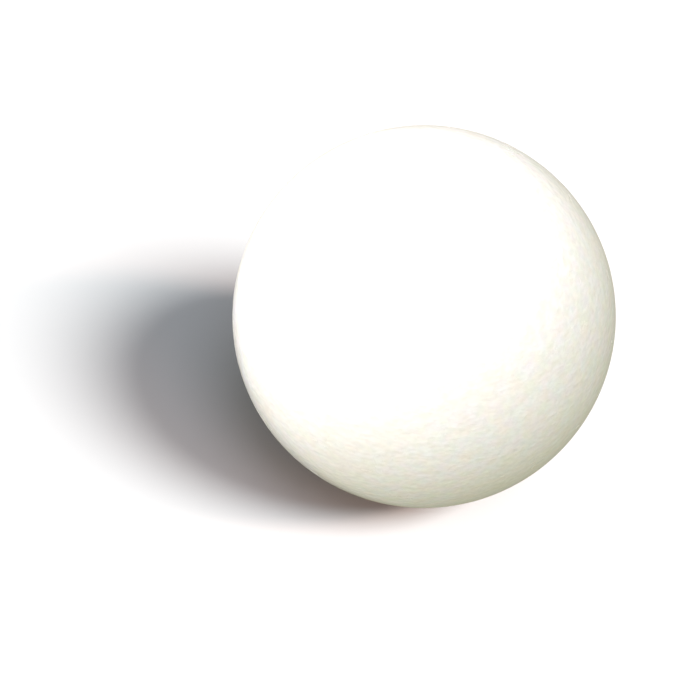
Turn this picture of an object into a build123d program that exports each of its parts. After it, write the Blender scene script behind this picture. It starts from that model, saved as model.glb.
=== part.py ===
from build123d import *
import os

# A cue ball for pool: one solid casting of phenolic resin, ground round and polished.
# It has no shell, core or insert, so the whole object is a single piece.
# Millimetres, +Z up. The origin is the centre of the ball.

INCH = 25.4  # in millimetres

# Driving dimension
BALL_DIAMETER = 2.25 * INCH  # the regulation size, 57.15 mm

# Worked out from it
BALL_RADIUS = BALL_DIAMETER / 2

os.makedirs("parts", exist_ok=True)

# The ball is turned about its vertical axis, from a half disc whose straight side lies on that axis.
with BuildPart() as ball:
    with BuildSketch(Plane.XZ):
        with BuildLine():
            top, bottom = (0, BALL_RADIUS), (0, -BALL_RADIUS)
            ThreePointArc(bottom, (BALL_RADIUS, 0), top)
            Line(top, bottom)
        make_face()
    revolve(axis=Axis.Z)

ball.part.label = "ball"
export_step(ball.part, "parts/ball.step")
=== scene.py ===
import math

import bmesh
import bpy
from mathutils import Matrix, Vector, noise


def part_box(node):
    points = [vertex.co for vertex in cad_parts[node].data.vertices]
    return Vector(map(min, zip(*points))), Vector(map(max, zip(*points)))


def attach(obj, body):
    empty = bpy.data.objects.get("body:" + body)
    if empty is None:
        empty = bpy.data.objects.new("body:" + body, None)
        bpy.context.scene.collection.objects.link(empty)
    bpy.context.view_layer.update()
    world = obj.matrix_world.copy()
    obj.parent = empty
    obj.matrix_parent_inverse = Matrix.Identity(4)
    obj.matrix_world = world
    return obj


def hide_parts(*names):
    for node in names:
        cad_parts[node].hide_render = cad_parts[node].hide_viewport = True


# A cue ball: one polished resin sphere on a plain pale floor. Metres, in the part's own frame.

MM = 0.001

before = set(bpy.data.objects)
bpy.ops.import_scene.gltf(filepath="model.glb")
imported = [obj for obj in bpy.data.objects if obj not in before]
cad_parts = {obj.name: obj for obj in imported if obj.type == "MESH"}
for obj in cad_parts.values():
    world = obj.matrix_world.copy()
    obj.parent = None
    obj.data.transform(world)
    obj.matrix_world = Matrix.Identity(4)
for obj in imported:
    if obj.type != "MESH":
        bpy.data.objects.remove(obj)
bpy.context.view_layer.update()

BALL_LOW, BALL_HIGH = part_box("ball")
CENTRE = (BALL_LOW + BALL_HIGH) / 2
RADIUS = (BALL_HIGH.z - BALL_LOW.z) / 2


# ---------------------------------------------------------------- the ball's surface

CELLS = 128  # faces along each side of the cube that the sphere is blown up from

# Grinding and polishing leave the surface not quite smooth: (distance between crests, height).
WAVES = ((9.0 * MM, 0.004 * MM), (2.4 * MM, 0.0025 * MM), (1.1 * MM, 0.0015 * MM))


def wave_height(point):
    """How far the polished surface stands out from the true sphere at a point of it."""
    return sum(height * noise.noise(point / crest) for crest, height in WAVES)


def make_ball():
    """An even grid of four-sided faces on the sphere, with the faint waves of its polish."""
    mesh = bmesh.new()
    bmesh.ops.create_cube(mesh, size=2)
    bmesh.ops.subdivide_edges(mesh, edges=mesh.edges, cuts=CELLS - 1, use_grid_fill=True)
    for vert in mesh.verts:
        # equal steps along the cube become equal angles on the sphere
        outward = Vector([math.tan(x * math.pi / 4) for x in vert.co]).normalized()
        vert.co = outward * (RADIUS + wave_height(outward * RADIUS))
    for face in mesh.faces:
        face.smooth = True
    data = bpy.data.meshes.new("polished_ball")
    mesh.to_mesh(data)
    mesh.free()
    ball = bpy.data.objects.new("polished_ball", data)
    ball.location = CENTRE
    bpy.context.scene.collection.objects.link(ball)
    return ball


# ---------------------------------------------------------------- materials


class Shader:
    """A material's node tree, with short ways to add the nodes that this scene uses."""

    def __init__(self, name):
        self.material = bpy.data.materials.new(name)
        self.material.use_nodes = True
        self.tree = self.material.node_tree
        self.tree.nodes.clear()

    def node(self, kind, **settings):
        made = self.tree.nodes.new(kind)
        for key, value in settings.items():
            setattr(made, key, value)
        return made

    def feed(self, socket, value):
        """Links an output to an input, or sets the input to a plain value."""
        if isinstance(value, bpy.types.NodeSocket):
            self.tree.links.new(value, socket)
        else:
            socket.default_value = value

    def position(self, stretch=(1, 1, 1)):
        """The point's place on the object, in metres, times stretch along the three axes."""
        coordinates = self.node("ShaderNodeTexCoord")
        mapping = self.node("ShaderNodeMapping")
        self.feed(mapping.inputs["Vector"], coordinates.outputs["Object"])
        self.feed(mapping.inputs["Scale"], stretch)
        return mapping.outputs["Vector"]

    def noise(self, place, size, detail=2.0, shift=0.0):
        """Soft spots about size metres across, from 0 to 1. shift picks another pattern."""
        spots = self.node("ShaderNodeTexNoise", noise_dimensions="4D")
        self.feed(spots.inputs["Vector"], place)
        self.feed(spots.inputs["W"], shift)
        self.feed(spots.inputs["Scale"], 1 / size)
        self.feed(spots.inputs["Detail"], detail)
        return spots.outputs["Fac"]

    def remap(self, value, low, high, to_low, to_high):
        """value from low..high to to_low..to_high, and no further."""
        ramp = self.node("ShaderNodeMapRange", interpolation_type="SMOOTHSTEP")
        self.feed(ramp.inputs["Value"], value)
        self.feed(ramp.inputs["From Min"], low)
        self.feed(ramp.inputs["From Max"], high)
        self.feed(ramp.inputs["To Min"], to_low)
        self.feed(ramp.inputs["To Max"], to_high)
        return ramp.outputs["Result"]

    def spread(self, spots, to_low, to_high):
        """A noise's usual range to to_low..to_high."""
        return self.remap(spots, 0.3, 0.7, to_low, to_high)

    def mix(self, share, a, b, blend="MIX"):
        """Colour a turning to colour b as share goes from 0 to 1."""
        made = self.node("ShaderNodeMix", data_type="RGBA", blend_type=blend)
        self.feed(made.inputs["Factor"], share)
        self.feed(made.inputs["A"], a)
        self.feed(made.inputs["B"], b)
        return made.outputs["Result"]

    def length(self, vector):
        made = self.node("ShaderNodeVectorMath", operation="LENGTH")
        self.feed(made.inputs[0], vector)
        return made.outputs["Value"]

    def grey(self, value):
        """The grey whose three parts are value."""
        made = self.node("ShaderNodeCombineColor")
        for part in ("Red", "Green", "Blue"):
            self.feed(made.inputs[part], value)
        return made.outputs["Color"]

    def bump(self, height, distance):
        made = self.node("ShaderNodeBump")
        self.feed(made.inputs["Height"], height)
        self.feed(made.inputs["Distance"], distance)
        return made.outputs["Normal"]

    def surface(self, **inputs):
        """The Principled surface with those inputs, and the material's output."""
        shader = self.node("ShaderNodeBsdfPrincipled")
        for name, value in inputs.items():
            self.feed(shader.inputs[name.replace("_", " ")], value)
        output = self.node("ShaderNodeOutputMaterial")
        self.feed(output.inputs["Surface"], shader.outputs["BSDF"])


# The resin's warm off-white wanders between these.
ROSY = (0.8, 0.765, 0.575, 1)
GREENISH = (0.72, 0.81, 0.565, 1)
SANDY = (0.77, 0.785, 0.515, 1)
BLUISH = (0.75, 0.785, 0.63, 1)
YELLOWED = (0.765, 0.77, 0.53, 1)  # where it has aged more

AGED_MOST = 0.5  # the share of the yellowed colour in the middle of an aged patch

# How far across the spots of each kind are.
MOTTLE = 1.9 * MM
AGED_PATCH = 14 * MM
SPECK = 0.9 * MM
RIPPLE = 1.1 * MM
RUBBED_PATCH = 5 * MM

SPECK_SHADE = 0.032  # how much lighter or darker a speck is
RIPPLE_HEIGHT = 0.075 * MM
ALONG_POLISH = (1, 1, 1.35)  # the grain is finer up and down than around the ball

POLISHED = 0.20  # roughness where the polish is whole
RUBBED = 0.28  # and where the ball has been rubbed
RESIN_IOR = 1.6
GLOSS = 0.2  # how strong the thin clear gloss over the resin is
GLOSS_ROUGHNESS = 0.06


def resin():
    """Cast phenolic resin, ground and polished: warm off-white, faintly mottled."""
    shader = Shader("cast_resin")
    place = shader.position()
    rosy_green = shader.spread(shader.noise(place, MOTTLE, shift=3.3), 0, 1)
    sandy_blue = shader.spread(shader.noise(place, MOTTLE, shift=5.7), 0, 1)
    colour = shader.mix(
        0.5, shader.mix(rosy_green, ROSY, GREENISH), shader.mix(sandy_blue, SANDY, BLUISH)
    )
    aged = shader.remap(shader.noise(place, AGED_PATCH, shift=1.1), 0.4, 0.75, 0, AGED_MOST)
    colour = shader.mix(aged, colour, YELLOWED)
    polish = shader.position(ALONG_POLISH)
    specks = shader.noise(polish, SPECK, detail=1, shift=9.2)
    shade = shader.grey(shader.spread(specks, 1 - SPECK_SHADE, 1 + SPECK_SHADE))
    ripples = shader.noise(polish, RIPPLE, detail=1, shift=13.6)
    rubbed = shader.noise(place, RUBBED_PATCH, detail=4, shift=11.4)
    shader.surface(
        Base_Color=shader.mix(1.0, colour, shade, blend="MULTIPLY"),
        Roughness=shader.spread(rubbed, POLISHED, RUBBED),
        Normal=shader.bump(ripples, RIPPLE_HEIGHT),
        IOR=RESIN_IOR,
        Coat_Weight=GLOSS,
        Coat_Roughness=GLOSS_ROUGHNESS,
    )
    return shader.material


# ---------------------------------------------------------------- floor and room

FLOOR_REACH = 6.0
FLOOR_EDGES = 96
FLOOR_WHITE = (0.32, 0.32, 0.32, 1)  # how much light the floor near the ball sends to the camera, inside a painted pool of light
FLOOR_GREY = (0.16, 0.17, 0.17, 1)  # the same far away, painted darker as if the light fell off, so that the ball stands out in low views
FLOOR_BOUNCE = (0.12, 0.123, 0.1, 1)  # how much light the floor sends back to the ball
FADE_START = 7 * RADIUS  # from the ball, where the painted pool of light begins to turn from white to grey
FADE_END = 14 * RADIUS

ROOM_LIGHT = 0.515  # how strongly the room lights the ball and the floor
BACKDROP = 0.6  # how bright the room looks, like the far floor


def make_floor():
    """A plain pale floor that the ball stands on, with a painted pool of light: white near it and
    light grey far away.
    """
    mesh = bmesh.new()
    bmesh.ops.create_circle(mesh, cap_ends=True, segments=FLOOR_EDGES, radius=FLOOR_REACH)
    data = bpy.data.meshes.new("floor")
    mesh.to_mesh(data)
    mesh.free()
    floor = bpy.data.objects.new("floor", data)
    floor.location = (CENTRE.x, CENTRE.y, BALL_LOW.z)
    bpy.context.scene.collection.objects.link(floor)
    shader = Shader("pale_floor")
    distance = shader.length(shader.position())
    # painted pool of light: the floor's colour goes from white near the ball to grey further out
    painted_pool_fade = shader.remap(distance, FADE_START, FADE_END, 0, 1)
    seen = shader.node("ShaderNodeLightPath").outputs["Is Camera Ray"]
    colour = shader.mix(seen, FLOOR_BOUNCE, shader.mix(painted_pool_fade, FLOOR_WHITE, FLOOR_GREY))
    shader.surface(Base_Color=colour, Roughness=1.0, Specular_IOR_Level=0.0)
    floor.data.materials.append(shader.material)
    return floor


def make_room():
    """Even white light from all round, from a room that looks as bright as the far floor."""
    world = bpy.data.worlds.new("room")
    bpy.context.scene.world = world
    world.use_nodes = True
    tree = world.node_tree
    background = tree.nodes["Background"]
    background.inputs["Color"].default_value = (1, 1, 1, 1)
    seen = tree.nodes.new("ShaderNodeLightPath").outputs["Is Camera Ray"]
    level = tree.nodes.new("ShaderNodeMapRange")
    level.inputs["To Min"].default_value = ROOM_LIGHT
    level.inputs["To Max"].default_value = BACKDROP
    tree.links.new(seen, level.inputs["Value"])
    tree.links.new(level.outputs["Result"], background.inputs["Strength"])


# ---------------------------------------------------------------- lamps
# A lamp lights the floor alone or the ball alone. Angles are in degrees, sizes in metres.

DAYLIGHT = (0.97, 1.0, 1.0)
SKYLIGHT = (0.77, 0.86, 1.0)
LAMPLIGHT = (1.0, 0.66, 0.53)
EVENING = (0.75, 0.68, 1.0)

# name, azimuth, elevation, how wide the light spreads, strength, colour
SHADOW_SUNS = (
    ("right_window_shadow", 56, 43, 19, 10, DAYLIGHT),
    ("front_window_shadow", 25, 58, 22, 1.5, SKYLIGHT),
    ("low_wall_shadow", 42, 21, 31, 3.2, LAMPLIGHT),
    ("low_lamp_shadow", 72, 29, 7, 2.8, LAMPLIGHT),
)
BALL_SUNS = (
    ("left_window", -75, 50, 100, 7.4, EVENING),
    ("right_window", 45, 50, 60, 1.9, EVENING),
)

# name, azimuth, elevation, width, height, power
SOFTBOXES = (
    ("side_softbox", 110, 35, 0.30, 0.42, 4),
    ("back_softbox", 200, 20, 0.22, 0.42, 2.2),
)
SOFTBOX_DISTANCE = 1.0

# How many times a sun's light bounces on. The ball's suns are strong enough to fill in its shadow,
# so their light stops at the ball. The floor's suns still reach the ball's underside off the floor.
NO_BOUNCE = 0
FLOOR_TO_BALL = 1


def towards(azimuth, elevation):
    """A direction seen from the ball: azimuth 0 is the camera's side, 90 the camera's right."""
    a, e = math.radians(azimuth), math.radians(elevation)
    return Vector((math.sin(a) * math.cos(e), -math.cos(a) * math.cos(e), math.sin(e)))


def add_light(lamp, only_on, azimuth, elevation, distance=0.0):
    """Puts the lamp on that side of the ball, turned towards it, to light one object alone."""
    light = bpy.data.objects.new(lamp.name, lamp)
    outward = towards(azimuth, elevation)
    light.location = CENTRE + outward * distance
    light.rotation_euler = outward.to_track_quat("Z", "Y").to_euler()
    bpy.context.scene.collection.objects.link(light)
    lit = bpy.data.collections.new(f"lit_by_{lamp.name}")
    lit.objects.link(only_on)
    light.light_linking.receiver_collection = lit
    return light


def add_sun(only_on, bounces, name, azimuth, elevation, spread, energy, colour):
    """Soft light from that side, too wide to show in the gloss."""
    lamp = bpy.data.lights.new(name, "SUN")
    lamp.angle = math.radians(spread)
    lamp.energy = energy
    lamp.color = colour
    lamp.cycles.max_bounces = bounces
    add_light(lamp, only_on, azimuth, elevation).visible_glossy = False


def add_softbox(only_on, name, azimuth, elevation, width, height, power):
    """A lamp that shows only as its reflection in the gloss."""
    lamp = bpy.data.lights.new(name, "AREA")
    lamp.shape = "RECTANGLE"
    lamp.size = width
    lamp.size_y = height
    lamp.energy = power
    add_light(lamp, only_on, azimuth, elevation, SOFTBOX_DISTANCE).visible_diffuse = False


# ---------------------------------------------------------------- camera

LENS = 65.0
CAMERA_ELEVATION = 40.0
CAMERA_DISTANCE = 6.692 * RADIUS
BALL_RIGHT = 3.28  # degrees that the ball stands to the right of the line of sight
BALL_UP = 1.48  # degrees that it stands above it


def add_camera():
    data = bpy.data.cameras.new("camera")
    data.lens = LENS
    camera = bpy.data.objects.new("camera", data)
    bpy.context.scene.collection.objects.link(camera)
    back = towards(0, CAMERA_ELEVATION)
    aim = back.to_track_quat("Z", "Y").to_matrix().to_4x4()
    aim = aim @ Matrix.Rotation(math.radians(BALL_RIGHT), 4, "Y")
    aim = aim @ Matrix.Rotation(math.radians(-BALL_UP), 4, "X")
    camera.matrix_world = Matrix.Translation(CENTRE + back * CAMERA_DISTANCE) @ aim
    bpy.context.scene.camera = camera


# ---------------------------------------------------------------- the scene

ball = make_ball()
ball.data.materials.append(resin())
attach(ball, "root")
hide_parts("ball")

floor = make_floor()
make_room()
for sun in SHADOW_SUNS:
    add_sun(floor, FLOOR_TO_BALL, *sun)
for sun in BALL_SUNS:
    add_sun(ball, NO_BOUNCE, *sun)
for softbox in SOFTBOXES:
    add_softbox(ball, *softbox)
add_camera()
bpy.context.scene.view_settings.view_transform = "Standard"
